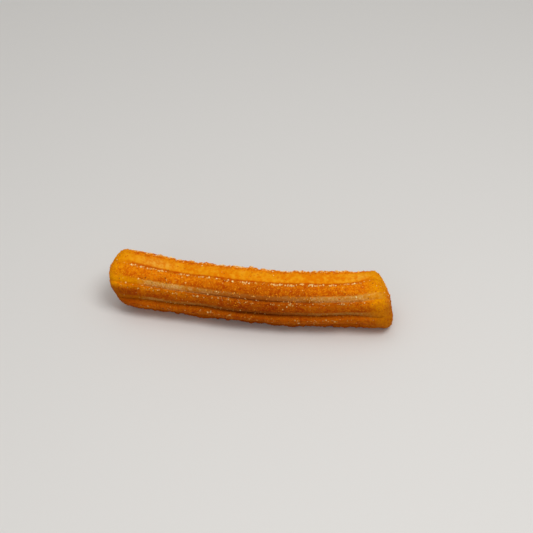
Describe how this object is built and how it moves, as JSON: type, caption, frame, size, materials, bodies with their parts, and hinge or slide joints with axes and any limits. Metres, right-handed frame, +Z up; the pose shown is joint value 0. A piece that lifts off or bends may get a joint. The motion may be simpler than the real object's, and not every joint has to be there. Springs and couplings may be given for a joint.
{
  "type": "churro",
  "caption": "Ridged, slightly bowed fried dough stick with domed, snipped ends, coated in cinnamon sugar, lying on a small pressed flat.",
  "frame": {"origin": "middle of the churro's footprint, on the surface that it lies on", "axes": "+X along the churro to its right end as the picture shows it, +Z up, -Y to the side that the picture shows"},
  "size_m": [0.1396, 0.0334, 0.0264],
  "materials": {
    "sugared_crust": "Rough fried crust, golden orange with darker cinnamon on the ridges, paler tan groove flanks and glittering sugar grains."
  },
  "bodies": {
    "root": {"churro": "sugared_crust"}
  },
  "joints": []
}
